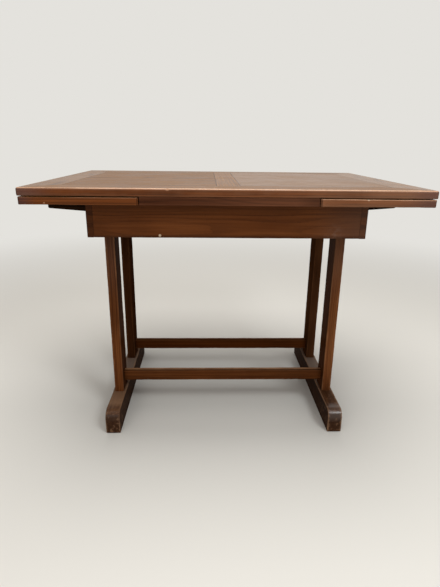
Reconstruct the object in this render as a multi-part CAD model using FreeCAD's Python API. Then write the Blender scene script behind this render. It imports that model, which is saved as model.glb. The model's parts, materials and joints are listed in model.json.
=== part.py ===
"""Draw-leaf dining table on a two-post trestle base.

Millimetres, +Z up, X along the length, Y along the depth (the front is at -Y).
The origin is on the floor, under the middle of the closed table.
"""
import FreeCAD
import Part
import math
import os

# Closed table
TOP_LENGTH = 1030.0
TOP_DEPTH = 735.0
TABLE_HEIGHT = 753.0

# Framed top: mitred rails, one muntin from front to back, two flush panels
TOP_THICKNESS = 20.0
TOP_RAIL_WIDTH = 85.0
MUNTIN_WIDTH = 62.0
TOP_ARRIS = 4.5
TOP_LOWER_ARRIS = 2.5

# Framed draw leaves
LEAF_THICKNESS = 19.0
LEAF_RAIL_WIDTH = 60.0
LEAF_ARRIS = 2.0
LEAF_HEADROOM = 2.0
LEAF_END_INSET = 2.0
LEAF_TO_BOARD = 2.0
DRAW_CLEARANCE = 1.0

# Panels of the top and leaves: flush above, tongued into the rails all round
PANEL_THICKNESS = 11.0
TONGUE_THICKNESS = 5.0
TONGUE_DEPTH = 7.0
PANEL_JOINT = 0.4
SLAB_CORNER = 6.0

# Fixed board between the leaves, on which the closed top rests
CENTRE_BOARD_LENGTH = 444.0
CENTRE_BOARD_SETBACK = 3.0
CENTRE_BOARD_ARRIS = 1.5

# Apron box, dovetailed at its corners
APRON_LENGTH = 754.0
APRON_DEPTH = 546.0
APRON_HEIGHT = 98.0
FRONT_APRON_THICKNESS = 20.0
END_APRON_THICKNESS = 17.5
APRON_ARRIS = 1.5
DOVETAIL_COUNT = 3
TAIL_ROOT = 17.0
TAIL_END = 23.0
CORNER_BLOCK_LEG = 26.0
CORNER_BLOCK_HEIGHT = 40.0
CORNER_BLOCK_LIFT = 2.0

# Tapered bearers under the leaves, two to a leaf
BEARER_THICKNESS = 18.0
BEARER_TIP_DEPTH = 24.0
BEARER_TIP_SETBACK = 31.0
BEARER_TAIL = 150.0
BEARER_NOSE = 4.0
OUTER_BEARER_GAP = 6.0
BETWEEN_BEARERS = 35.0
NOTCH_SIDE_CLEARANCE = 1.0
NOTCH_FLOOR_CLEARANCE = 0.2
BOARD_CLEARANCE = 0.6
STOP_LENGTH = 22.0
STOP_WIDTH = 10.0
STOP_HEIGHT = 24.0
STOP_CLEARANCE = 0.5

# Trestle posts
POST_THICKNESS = 29.0
POST_WIDTH = 71.0
POST_SPREAD = 244.0
POST_HEADROOM = 8.0
POST_ARRIS = 2.0
POST_TENON_THICKNESS = 13.0
POST_TENON_WIDTH = 46.0
POST_TENON_LENGTH = 36.0

# Sled feet
FOOT_LENGTH = 566.0
FOOT_WIDTH = 44.0
FOOT_HEIGHT = 74.0
FOOT_NOSE = 28.0
FOOT_HEEL = 4.0
FOOT_ARRIS = 2.5

# Stretchers between the trestles
STRETCHER_HEIGHT = 36.0
STRETCHER_THICKNESS = 20.0
STRETCHER_LIFT = 27.5
STRETCHER_ARRIS = 2.0
STRETCHER_TENON_THICKNESS = 10.0
STRETCHER_TENON_HEIGHT = 26.0
STRETCHER_TENON_LENGTH = 15.0

# Loose pegs that keep the top over the centre board
PEG_DIAMETER = 16.0
PEG_SPREAD = 400.0
PEG_IN_BOARD = 13.5
PEG_IN_TOP = 12.0
PEG_CLEARANCE = 1.0
PEG_END_ROOM = 0.5

# Countersunk wood screws
SCREW_SHANK = 4.5
SCREW_HEAD = 9.0
SCREW_TIP = 5.0
SCREW_RIM = 0.4
SCREW_SINK = 0.3
SCREW_CLEARANCE = 0.1
BOARD_SCREW_LENGTH = 38.0
BOARD_SCREW_PITCH = 160.0
BOARD_SCREWS_A_SIDE = 3
POST_SCREW_LENGTH = 40.0
POST_SCREW_RISE = 44.0
POST_SCREW_STAGGER = 28.0
LEAF_SCREW_LENGTH = 30.0
LEAF_SCREW_BITE = 12.0
LEAF_SCREW_INSET = 30.0
LEAF_SCREW_TIP_ROOM = 16.0

# Levels
TOP_UNDERSIDE = TABLE_HEIGHT - TOP_THICKNESS
LEAF_TOP = TOP_UNDERSIDE - LEAF_HEADROOM
LEAF_UNDERSIDE = LEAF_TOP - LEAF_THICKNESS
APRON_TOP = LEAF_UNDERSIDE
APRON_BOTTOM = APRON_TOP - APRON_HEIGHT
POST_TOP = APRON_TOP - POST_HEADROOM
STRETCHER_BOTTOM = FOOT_HEIGHT + STRETCHER_LIFT
STRETCHER_MIDDLE = STRETCHER_BOTTOM + STRETCHER_HEIGHT / 2

# Places along X
BOARD_END = CENTRE_BOARD_LENGTH / 2
LEAF_INNER = BOARD_END + LEAF_TO_BOARD
LEAF_OUTER = TOP_LENGTH / 2 - LEAF_END_INSET
BEARER_TIP = LEAF_OUTER - BEARER_TIP_SETBACK
APRON_END = APRON_LENGTH / 2
APRON_END_INNER = APRON_END - END_APRON_THICKNESS
POST_CENTRE = APRON_END_INNER - POST_THICKNESS / 2
POST_INNER = APRON_END_INNER - POST_THICKNESS

# Places along Y
APRON_FACE = APRON_DEPTH / 2
APRON_INNER = APRON_FACE - FRONT_APRON_THICKNESS
APRON_MIDDLE = APRON_FACE - FRONT_APRON_THICKNESS / 2
OUTER_BEARER = APRON_INNER - OUTER_BEARER_GAP - BEARER_THICKNESS / 2
INNER_BEARER = OUTER_BEARER - BEARER_THICKNESS - BETWEEN_BEARERS
POST_Y = POST_SPREAD / 2
PEG_Y = PEG_SPREAD / 2

# Draw: a leaf comes out until it clears the top's end, and climbs to the top's own level
DRAW = TOP_LENGTH / 2 + DRAW_CLEARANCE - LEAF_INNER
SLOPE = (TOP_THICKNESS + LEAF_HEADROOM) / DRAW

SIDES = {"left": -1, "right": 1}
ENDS = {"front": -1, "rear": 1}
UP = FreeCAD.Vector(0, 0, 1)
# How near two values count as equal, and how far a cutting shape runs past a face
NEAR = 1e-6
CUT_THROUGH = 1.0


def vec(x, y, z):
    return FreeCAD.Vector(x, y, z)


def box(x0, x1, y0, y1, z0, z1):
    """A box from any two opposite corners."""
    low = vec(min(x0, x1), min(y0, y1), min(z0, z1))
    return Part.makeBox(abs(x1 - x0), abs(y1 - y0), abs(z1 - z0), low)


def prism_along_y(points, y0, y1):
    """An outline of (x, z) points, carried from y0 to y1."""
    corners = [vec(x, y0, z) for x, z in points]
    face = Part.Face(Part.makePolygon(corners + corners[:1]))
    return face.extrude(vec(0, y1 - y0, 0))


def prism_along_z(points, z0, z1):
    """An outline of (x, y) points, carried from z0 to z1."""
    corners = [vec(x, y, z0) for x, y in points]
    face = Part.Face(Part.makePolygon(corners + corners[:1]))
    return face.extrude(vec(0, 0, z1 - z0))


def runs_along(edge, axis):
    """True where an edge is straight and parallel to an axis, given as 0, 1 or 2."""
    room = edge.BoundBox
    spans = [room.XLength, room.YLength, room.ZLength]
    return all(span < NEAR for place, span in enumerate(spans) if place != axis)


def round_edges(shape, radius, axis, keep=None):
    """Rounds the straight edges along an axis, or those of them that keep() accepts."""
    edges = [e for e in shape.Edges if runs_along(e, axis)]
    if keep:
        edges = [e for e in edges if keep(e.BoundBox)]
    return shape.makeFillet(radius, edges)


def cut_all(shape, tools):
    for tool in tools:
        shape = shape.cut(tool)
    return shape


def slab(x0, x1, y0, y1, z0, z1, arris, lower_arris):
    """A board with rounded corners and arrises, from which the rails of a frame are cut."""
    blank = round_edges(box(x0, x1, y0, y1, z0, z1), SLAB_CORNER, 2)
    for z, radius in ((z0, lower_arris), (z1, arris)):
        rim = [e for e in blank.Edges if z - NEAR < e.BoundBox.ZMin and e.BoundBox.ZMax < z + NEAR]
        blank = blank.makeFillet(radius, rim)
    return blank


def panel(x0, x1, y0, y1, z1):
    """A flush panel whose tongue goes into the grooves round its bay."""
    z0 = z1 - PANEL_THICKNESS
    field = box(x0 + PANEL_JOINT, x1 - PANEL_JOINT, y0 + PANEL_JOINT, y1 - PANEL_JOINT, z0, z1)
    return field.fuse(tongue(x0, x1, y0, y1, z1)).removeSplitter()


def tongue(x0, x1, y0, y1, z1):
    """The space of a panel's tongue, which is also the groove in the rails."""
    z0 = z1 - PANEL_THICKNESS
    d = TONGUE_DEPTH
    return box(x0 - d, x1 + d, y0 - d, y1 + d, z0, z0 + TONGUE_THICKNESS)


def mitred_rails(x0, x1, y0, y1, z0, z1, width, arris, lower_arris):
    """Four grooved rails round one frame, keyed by the side that each lies on."""
    board = slab(x0, x1, y0, y1, z0, z1, arris, lower_arris)
    outer = {"front_left": (x0, y0), "front_right": (x1, y0), "rear_right": (x1, y1), "rear_left": (x0, y1)}
    inner = {
        "front_left": (x0 + width, y0 + width),
        "front_right": (x1 - width, y0 + width),
        "rear_right": (x1 - width, y1 - width),
        "rear_left": (x0 + width, y1 - width),
    }
    spans = {
        "front": ("front_left", "front_right"),
        "right": ("front_right", "rear_right"),
        "rear": ("rear_right", "rear_left"),
        "left": ("rear_left", "front_left"),
    }
    groove = tongue(x0 + width, x1 - width, y0 + width, y1 - width, z1)
    rails = {}
    for side, (a, b) in spans.items():
        outline = [outer[a], outer[b], inner[b], inner[a]]
        rails[side] = board.common(prism_along_z(outline, z0, z1)).cut(groove)
    return rails


def screw_outline(length, grow, collar):
    """A countersunk screw turned about Z, its head's face at the origin, with room above by collar."""
    head = SCREW_HEAD / 2 + grow
    shank = SCREW_SHANK / 2 + grow
    neck = SCREW_RIM + (SCREW_HEAD - SCREW_SHANK) / 2
    depth = length + grow
    outline = [
        vec(0, 0, collar),
        vec(head, 0, collar),
        vec(head, 0, -SCREW_RIM),
        vec(shank, 0, -neck),
        vec(shank, 0, -(depth - SCREW_TIP)),
        vec(0, 0, -depth),
    ]
    face = Part.Face(Part.makePolygon(outline + outline[:1]))
    return face.revolve(vec(0, 0, 0), UP, 360)


def wood_screw(length):
    return screw_outline(length, 0.0, 0.0)


def screw_hole(length):
    """The hole for a screw, open up to the face that its head is sunk below."""
    return screw_outline(length, SCREW_CLEARANCE, SCREW_SINK + SCREW_CLEARANCE)


def place(shape, at, along=UP):
    """Turns a shape's +Z to a direction and moves it to a point."""
    moved = shape.copy()
    moved.Placement = FreeCAD.Placement(at, FreeCAD.Rotation(UP, along))
    return moved


def screws_and_holes(length, seats, along=UP):
    """A screw and its hole at each seat, where along points out of the head."""
    screws = [place(wood_screw(length), at, along) for at in seats]
    holes = [place(screw_hole(length), at, along) for at in seats]
    return screws, holes


def post_seats(side, end):
    """Heads of the two screws that hold one post to its end apron."""
    x = SIDES[side] * (POST_INNER + SCREW_SINK)
    middle = APRON_BOTTOM + (POST_TOP - APRON_BOTTOM) / 2
    seats = []
    for step in (-1, 1):
        y = ENDS[end] * POST_Y + step * POST_SCREW_STAGGER / 2
        seats.append(vec(x, y, middle + step * POST_SCREW_RISE / 2))
    return seats


def board_seats(end):
    """Heads of the screws through the centre board into one long apron."""
    first = -(BOARD_SCREWS_A_SIDE - 1) / 2
    xs = [(first + n) * BOARD_SCREW_PITCH for n in range(BOARD_SCREWS_A_SIDE)]
    return [vec(x, ENDS[end] * APRON_MIDDLE, TOP_UNDERSIDE - SCREW_SINK) for x in xs]


def bearer_y(side, end):
    """The left leaf's bearers run outside the right leaf's."""
    spread = OUTER_BEARER if side == "left" else INNER_BEARER
    return ENDS[end] * spread


def bearer_foot(x):
    """Height of a closed bearer's lower edge at a distance x from the middle."""
    return LEAF_UNDERSIDE - BEARER_TIP_DEPTH - SLOPE * (BEARER_TIP - x)


def bearer_back(x):
    """Height of a closed bearer's upper edge under the centre board."""
    return LEAF_UNDERSIDE - BOARD_CLEARANCE - SLOPE * (BOARD_END - x)


def leaf_seats(side, end):
    """Heads of the two screws that go up through one bearer into the leaf's rails."""
    y = bearer_y(side, end)
    z = LEAF_UNDERSIDE + LEAF_SCREW_BITE - LEAF_SCREW_LENGTH
    xs = (BEARER_TIP - LEAF_SCREW_TIP_ROOM, LEAF_INNER + LEAF_SCREW_INSET)
    return [vec(SIDES[side] * x, y, z) for x in xs]


def dovetails(side, end):
    """The tails of one long apron at one corner of the apron box."""
    root = SIDES[side] * APRON_END_INNER
    tip = SIDES[side] * APRON_END
    y0, y1 = ENDS[end] * APRON_INNER, ENDS[end] * APRON_FACE
    pitch = APRON_HEIGHT / DOVETAIL_COUNT
    tails = []
    for n in range(DOVETAIL_COUNT):
        z = APRON_BOTTOM + (n + 0.5) * pitch
        outline = [
            (root, z - TAIL_ROOT / 2),
            (tip, z - TAIL_END / 2),
            (tip, z + TAIL_END / 2),
            (root, z + TAIL_ROOT / 2),
        ]
        tails.append(prism_along_y(outline, y0, y1))
    return tails


def long_apron(end):
    y0, y1 = ENDS[end] * APRON_INNER, ENDS[end] * APRON_FACE
    board = box(-APRON_END, APRON_END, y0, y1, APRON_BOTTOM, APRON_TOP)
    board = round_edges(board, APRON_ARRIS, 0, lambda room: room.ZMax < APRON_TOP - NEAR)
    for side, way in SIDES.items():
        corner = box(way * APRON_END_INNER, way * APRON_END, y0, y1, APRON_BOTTOM, APRON_TOP)
        board = board.cut(cut_all(corner, dovetails(side, end)))
    return cut_all(board, screws_and_holes(BOARD_SCREW_LENGTH, board_seats(end))[1])


def bearer_notch(side, end, way):
    """The slot in an end apron through which a bearer of one leaf slides."""
    y = bearer_y(side, end)
    half = BEARER_THICKNESS / 2 + NOTCH_SIDE_CLEARANCE
    inside, outside = APRON_END_INNER - CUT_THROUGH, APRON_END + CUT_THROUGH
    outline = [
        (way * inside, bearer_foot(inside) - NOTCH_FLOOR_CLEARANCE),
        (way * outside, bearer_foot(outside) - NOTCH_FLOOR_CLEARANCE),
        (way * outside, APRON_TOP + CUT_THROUGH),
        (way * inside, APRON_TOP + CUT_THROUGH),
    ]
    return prism_along_y(outline, y - half, y + half)


def end_apron(side):
    way = SIDES[side]
    board = box(way * APRON_END_INNER, way * APRON_END, -APRON_FACE, APRON_FACE, APRON_BOTTOM, APRON_TOP)
    board = round_edges(board, APRON_ARRIS, 1, lambda room: room.ZMax < APRON_TOP - NEAR)
    for end in ENDS:
        board = cut_all(board, dovetails(side, end))
        board = board.cut(bearer_notch(side, end, way))
        seats = post_seats(side, end)
        board = cut_all(board, screws_and_holes(POST_SCREW_LENGTH, seats, vec(-way, 0, 0))[1])
    return board


def corner_block(side, end):
    """A glued three-cornered block in one inside corner of the apron box."""
    way, out = SIDES[side], ENDS[end]
    leg = CORNER_BLOCK_LEG
    z0 = APRON_BOTTOM + CORNER_BLOCK_LIFT
    outline = [
        (way * APRON_END_INNER, out * APRON_INNER),
        (way * (APRON_END_INNER - leg), out * APRON_INNER),
        (way * APRON_END_INNER, out * (APRON_INNER - leg)),
    ]
    return prism_along_z(outline, z0, z0 + CORNER_BLOCK_HEIGHT)


def peg_seat(end):
    return vec(0, ENDS[end] * PEG_Y, TOP_UNDERSIDE)


def peg_socket(end, depth):
    """A clearance hole for a peg; a negative depth goes down."""
    radius = PEG_DIAMETER / 2 + PEG_CLEARANCE
    way = UP if depth > 0 else -UP
    return Part.makeCylinder(radius, abs(depth) + PEG_END_ROOM, peg_seat(end), way)


def guide_peg(end):
    foot = peg_seat(end) - UP * PEG_IN_BOARD
    return Part.makeCylinder(PEG_DIAMETER / 2, PEG_IN_BOARD + PEG_IN_TOP, foot, UP)


def centre_board():
    edge = TOP_DEPTH / 2 - CENTRE_BOARD_SETBACK
    board = box(-BOARD_END, BOARD_END, -edge, edge, LEAF_UNDERSIDE, TOP_UNDERSIDE)
    board = round_edges(board, CENTRE_BOARD_ARRIS, 0)
    for end in ENDS:
        board = board.cut(peg_socket(end, -PEG_IN_BOARD))
        board = cut_all(board, screws_and_holes(BOARD_SCREW_LENGTH, board_seats(end))[1])
    return board


def foot(side):
    """A sled foot: flat below, round-nosed at both ends, mortised for two posts."""
    x0 = SIDES[side] * POST_CENTRE - FOOT_WIDTH / 2
    half = FOOT_LENGTH / 2
    blank = box(x0, x0 + FOOT_WIDTH, -half, half, 0, FOOT_HEIGHT)
    blank = round_edges(blank, FOOT_NOSE, 0, lambda room: room.ZMin > FOOT_HEIGHT / 2)
    blank = round_edges(blank, FOOT_HEEL, 0, lambda room: room.ZMax < NEAR)
    rims = []
    for edge in blank.Edges:
        room = edge.BoundBox
        if room.XLength < NEAR and room.ZMax > FOOT_HEEL + NEAR:
            rims.append(edge)
    blank = blank.makeFillet(FOOT_ARRIS, rims)
    return cut_all(blank, [post_tenon(side, end) for end in ENDS])


def post_tenon(side, end):
    x, y = SIDES[side] * POST_CENTRE, ENDS[end] * POST_Y
    dx, dy = POST_TENON_THICKNESS / 2, POST_TENON_WIDTH / 2
    return box(x - dx, x + dx, y - dy, y + dy, FOOT_HEIGHT - POST_TENON_LENGTH, FOOT_HEIGHT)


def post(side, end):
    """An upright, tenoned into the foot and screwed to the inside of the end apron."""
    x, y = SIDES[side] * POST_CENTRE, ENDS[end] * POST_Y
    dx, dy = POST_THICKNESS / 2, POST_WIDTH / 2
    body = box(x - dx, x + dx, y - dy, y + dy, FOOT_HEIGHT, POST_TOP)
    body = round_edges(body, POST_ARRIS, 2).fuse(post_tenon(side, end))
    body = body.cut(stretcher_tenon(side, end))
    holes = screws_and_holes(POST_SCREW_LENGTH, post_seats(side, end), vec(-SIDES[side], 0, 0))[1]
    return cut_all(body, holes)


def stretcher_tenon(side, end):
    way, y = SIDES[side], ENDS[end] * POST_Y
    dy, dz = STRETCHER_TENON_THICKNESS / 2, STRETCHER_TENON_HEIGHT / 2
    reach = POST_INNER + STRETCHER_TENON_LENGTH
    z = STRETCHER_MIDDLE
    return box(way * POST_INNER, way * reach, y - dy, y + dy, z - dz, z + dz)


def stretcher(end):
    y, dy = ENDS[end] * POST_Y, STRETCHER_THICKNESS / 2
    top = STRETCHER_BOTTOM + STRETCHER_HEIGHT
    bar = box(-POST_INNER, POST_INNER, y - dy, y + dy, STRETCHER_BOTTOM, top)
    bar = round_edges(bar, STRETCHER_ARRIS, 0)
    for side in SIDES:
        bar = bar.fuse(stretcher_tenon(side, end))
    return bar


def bearer(side, end):
    """A bar that tapers to its tip under the leaf and slopes under the centre board."""
    way = SIDES[side]
    y, half = bearer_y(side, end), BEARER_THICKNESS / 2
    tail = -BEARER_TAIL
    outline = [
        (way * BEARER_TIP, LEAF_UNDERSIDE),
        (way * LEAF_INNER, LEAF_UNDERSIDE),
        (way * BOARD_END, bearer_back(BOARD_END)),
        (way * tail, bearer_back(tail)),
        (way * tail, bearer_foot(tail)),
        (way * BEARER_TIP, bearer_foot(BEARER_TIP)),
    ]
    bar = prism_along_y(outline, y - half, y + half)
    bar = round_edges(bar, BEARER_NOSE, 1, lambda room: is_nose(room, way))
    for seat in leaf_seats(side, end):
        bar = bar.cut(screw_well(seat))
    return cut_all(bar, screws_and_holes(LEAF_SCREW_LENGTH, leaf_seats(side, end), -UP)[1])


def is_nose(room, way):
    """True for the lower edge at a bearer's tip."""
    return way * room.XMin > BEARER_TIP - NEAR and room.ZMax < LEAF_UNDERSIDE - NEAR


def screw_well(seat):
    """The counterbore below a screw that goes up into a leaf."""
    depth = seat.z - bearer_foot(-BEARER_TAIL)
    return Part.makeCylinder(SCREW_HEAD / 2 + SCREW_CLEARANCE, depth, seat, -UP)


def bearer_stop(side, end):
    """A block on a bearer's flank that meets the end apron when the leaf is right out."""
    way, out = SIDES[side], ENDS[end]
    x1 = APRON_END_INNER - DRAW - STOP_CLEARANCE
    x0 = x1 - STOP_LENGTH
    flank = -1 if side == "left" else 1
    y0 = bearer_y(side, end) + out * flank * BEARER_THICKNESS / 2
    middle = (bearer_foot(x0) + bearer_back(x1)) / 2
    z0, z1 = middle - STOP_HEIGHT / 2, middle + STOP_HEIGHT / 2
    return box(way * x0, way * x1, y0, y0 + out * flank * STOP_WIDTH, z0, z1)


def leaf(side):
    """Every piece of one draw leaf, keyed by node name."""
    way = SIDES[side]
    x0, x1 = sorted((way * LEAF_INNER, way * LEAF_OUTER))
    y = TOP_DEPTH / 2
    rails = mitred_rails(x0, x1, -y, y, LEAF_UNDERSIDE, LEAF_TOP, LEAF_RAIL_WIDTH, LEAF_ARRIS, LEAF_ARRIS)
    holes = []
    screws = []
    for end in ENDS:
        made = screws_and_holes(LEAF_SCREW_LENGTH, leaf_seats(side, end), -UP)
        screws += made[0]
        holes += made[1]
    other = "left" if side == "right" else "right"
    name = side + "_leaf_"
    w = LEAF_RAIL_WIDTH
    return {
        name + "front_rail": rails["front"],
        name + "rear_rail": rails["rear"],
        name + "outer_rail": cut_all(rails[side], holes),
        name + "inner_rail": cut_all(rails[other], holes),
        name + "panel": panel(x0 + w, x1 - w, -y + w, y - w, LEAF_TOP),
        name + "front_bearer": bearer(side, "front"),
        name + "rear_bearer": bearer(side, "rear"),
        name + "stops": Part.makeCompound([bearer_stop(side, end) for end in ENDS]),
        name + "screws": Part.makeCompound(screws),
    }


def top():
    """Every piece of the loose top, keyed by node name."""
    x, y = TOP_LENGTH / 2, TOP_DEPTH / 2
    w, m = TOP_RAIL_WIDTH, MUNTIN_WIDTH / 2
    rails = mitred_rails(-x, x, -y, y, TOP_UNDERSIDE, TABLE_HEIGHT, w, TOP_ARRIS, TOP_LOWER_ARRIS)
    bays = {"left": (-x + w, -m), "right": (m, x - w)}
    muntin = box(-m, m, -y + w, y - w, TOP_UNDERSIDE, TABLE_HEIGHT)
    muntin = muntin.fuse(box(-m, m, -y + w - TONGUE_DEPTH, y - w + TONGUE_DEPTH,
                             TABLE_HEIGHT - PANEL_THICKNESS,
                             TABLE_HEIGHT - PANEL_THICKNESS + TONGUE_THICKNESS))
    for x0, x1 in bays.values():
        muntin = muntin.cut(tongue(x0, x1, -y + w, y - w, TABLE_HEIGHT))
    for end in ENDS:
        muntin = muntin.cut(peg_socket(end, PEG_IN_TOP))
    pieces = {"top_" + side + "_rail": rail for side, rail in rails.items()}
    pieces["top_muntin"] = muntin.removeSplitter()
    for side, (x0, x1) in bays.items():
        pieces["top_" + side + "_panel"] = panel(x0, x1, -y + w, y - w, TABLE_HEIGHT)
    return pieces


def base():
    """Every fixed piece: trestles, apron box and centre board, keyed by node name."""
    pieces = {"centre_board": centre_board()}
    board_screws, post_screws, blocks = [], [], []
    for end in ENDS:
        pieces[end + "_apron"] = long_apron(end)
        pieces[end + "_stretcher"] = stretcher(end)
        board_screws += screws_and_holes(BOARD_SCREW_LENGTH, board_seats(end))[0]
    for side, way in SIDES.items():
        pieces[side + "_apron"] = end_apron(side)
        pieces[side + "_foot"] = foot(side)
        for end in ENDS:
            pieces[end + "_" + side + "_post"] = post(side, end)
            blocks.append(corner_block(side, end))
            seats = post_seats(side, end)
            post_screws += screws_and_holes(POST_SCREW_LENGTH, seats, vec(-way, 0, 0))[0]
    pieces["corner_blocks"] = Part.makeCompound(blocks)
    pieces["centre_board_screws"] = Part.makeCompound(board_screws)
    pieces["post_screws"] = Part.makeCompound(post_screws)
    return pieces


def main():
    pieces = base()
    for side in SIDES:
        pieces.update(leaf(side))
    pieces.update(top())
    pieces["guide_pegs"] = Part.makeCompound([guide_peg(end) for end in ENDS])
    os.makedirs("parts", exist_ok=True)
    for node, shape in pieces.items():
        shape.exportStep(os.path.join("parts", node + ".step"))
        sound = shape.isValid() and all(s.Volume > 0 for s in shape.Solids)
        print(node, len(shape.Solids), round(shape.Volume), "ok" if sound else "FAULT")
    print("draw", DRAW, "slope", SLOPE, "angle", math.degrees(math.atan(SLOPE)))


main()
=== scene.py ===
"""Looks of a draw-leaf dining table: stained oak, worn arrises, satin polish, pale studio floor."""
import json
import math
from collections import namedtuple

import bmesh
import bpy
from mathutils import Matrix, Vector, noise


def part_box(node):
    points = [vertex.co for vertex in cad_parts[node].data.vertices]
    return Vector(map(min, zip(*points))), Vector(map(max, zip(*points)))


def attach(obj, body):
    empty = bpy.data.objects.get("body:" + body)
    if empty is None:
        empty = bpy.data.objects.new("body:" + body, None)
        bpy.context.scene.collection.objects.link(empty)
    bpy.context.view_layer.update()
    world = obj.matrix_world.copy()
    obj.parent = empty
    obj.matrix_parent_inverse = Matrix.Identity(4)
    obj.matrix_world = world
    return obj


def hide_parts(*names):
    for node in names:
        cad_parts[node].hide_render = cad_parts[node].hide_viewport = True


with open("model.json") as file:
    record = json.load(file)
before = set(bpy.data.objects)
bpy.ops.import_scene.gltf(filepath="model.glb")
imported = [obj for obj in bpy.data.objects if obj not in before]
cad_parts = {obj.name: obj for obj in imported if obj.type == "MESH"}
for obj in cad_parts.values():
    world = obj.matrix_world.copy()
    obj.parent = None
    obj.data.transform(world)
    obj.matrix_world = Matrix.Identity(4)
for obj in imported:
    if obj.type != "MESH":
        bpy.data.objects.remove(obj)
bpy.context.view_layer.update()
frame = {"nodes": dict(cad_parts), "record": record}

# Photograph's frame and lens
FRAME_WIDE, FRAME_TALL = 440, 587
FOCAL_PIXELS = 445.4
SENSOR = 36.0
CAMERA_PLACE = Vector((-0.0565, -1.4659, 0.8551))
CAMERA_PITCH, CAMERA_YAW, CAMERA_ROLL = (math.radians(a) for a in (18.5, 1.8, 0.7))

AXES = "xyz"
ALL_SIDES = {sign + name for sign in "-+" for name in AXES}
RELIEF_STRENGTH = 0.35


def linear(red, green, blue):
    """A colour written as 0 to 255 screen values, in the shader's linear light."""
    def one(value):
        value /= 255
        return value / 12.92 if value <= 0.04045 else ((value + 0.055) / 1.055) ** 2.4
    return one(red), one(green), one(blue), 1.0


class Finish:
    """One material, and short ways to add and join its shader nodes."""

    def __init__(self, name):
        self.material = bpy.data.materials.new(name)
        self.material.use_nodes = True
        self.nodes = self.material.node_tree.nodes
        self.links = self.material.node_tree.links
        self.shader = self.nodes["Principled BSDF"]
        self.place = self.add("ShaderNodeTexCoord")

    def add(self, kind, **settings):
        node = self.nodes.new(kind)
        for name, value in settings.items():
            setattr(node, name, value)
        return node

    def feed(self, socket, value):
        """Joins an output to a socket, or sets a plain value on it."""
        if isinstance(value, bpy.types.NodeSocket):
            self.links.new(value, socket)
        else:
            socket.default_value = value

    def calc(self, operation, a, b=0.0):
        node = self.add("ShaderNodeMath", operation=operation)
        self.feed(node.inputs[0], a)
        self.feed(node.inputs[1], b)
        return node.outputs[0]

    def plus(self, a, b):
        return self.calc("ADD", a, b)

    def minus(self, a, b):
        return self.calc("SUBTRACT", a, b)

    def times(self, a, b):
        return self.calc("MULTIPLY", a, b)

    def lesser(self, a, b):
        return self.calc("MINIMUM", a, b)

    def greater(self, a, b):
        return self.calc("MAXIMUM", a, b)

    def unsigned(self, a):
        return self.calc("ABSOLUTE", a)

    def hypotenuse(self, a, b):
        return self.calc("SQRT", self.plus(self.calc("POWER", a, 2.0), self.calc("POWER", b, 2.0)))

    def spread(self, value, low, high, to_low=0.0, to_high=1.0):
        """A value eased from one range to another, and held at its ends."""
        node = self.add("ShaderNodeMapRange", interpolation_type="SMOOTHSTEP")
        for name, number in zip(("Value", "From Min", "From Max", "To Min", "To Max"),
                                (value, low, high, to_low, to_high)):
            self.feed(node.inputs[name], number)
        return node.outputs["Result"]

    def blend(self, share, a, b):
        """Colour a, with this share of colour b over it."""
        node = self.add("ShaderNodeMix", data_type="RGBA", clamp_factor=True)
        self.feed(node.inputs["Factor"], share)
        self.feed(node.inputs[6], a)
        self.feed(node.inputs[7], b)
        return node.outputs[2]

    def noise(self, vector, scale, detail, rough):
        """Noise with its own scale along each axis."""
        stretch = self.add("ShaderNodeVectorMath", operation="MULTIPLY")
        self.feed(stretch.inputs[0], vector)
        stretch.inputs[1].default_value = scale
        node = self.add("ShaderNodeTexNoise")
        self.feed(node.inputs["Vector"], stretch.outputs[0])
        node.inputs["Scale"].default_value = 1.0
        node.inputs["Detail"].default_value = detail
        node.inputs["Roughness"].default_value = rough
        return node.outputs["Fac"]

    def even_noise(self, scale, detail, rough):
        return self.noise(self.place.outputs["Object"], (scale, scale, scale), detail, rough)

    def relief(self, height, depth):
        """Bumps of a given depth in metres."""
        bump = self.add("ShaderNodeBump")
        bump.inputs["Strength"].default_value = RELIEF_STRENGTH
        bump.inputs["Distance"].default_value = depth
        self.feed(bump.inputs["Height"], height)
        self.feed(self.shader.inputs["Normal"], bump.outputs["Normal"])

    def parts(self, vector):
        node = self.add("ShaderNodeSeparateXYZ")
        self.feed(node.inputs[0], vector)
        return node.outputs[0], node.outputs[1], node.outputs[2]

    def at(self, axis):
        """The place on the table along one axis."""
        return self.parts(self.place.outputs["Object"])[AXES.index(axis)]

    def facing(self, axis):
        """How far the surface looks along one axis, from -1 to 1."""
        return self.parts(self.place.outputs["Normal"])[AXES.index(axis)]


class Stain:
    """Colours of one stained wood, as 0 to 255 screen values, and how it shines and wears.

    rough is the roughness of the wood, polish the weight of its coat, wear how far its arrises are
    worn through, and figure how dark its year rings are.
    """

    def __init__(self, dark, body, pale, worn, rough, polish, wear, figure):
        self.dark, self.body, self.pale, self.worn = (linear(*c) for c in (dark, body, pale, worn))
        self.rough, self.polish, self.wear, self.figure = rough, polish, wear, figure


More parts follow.
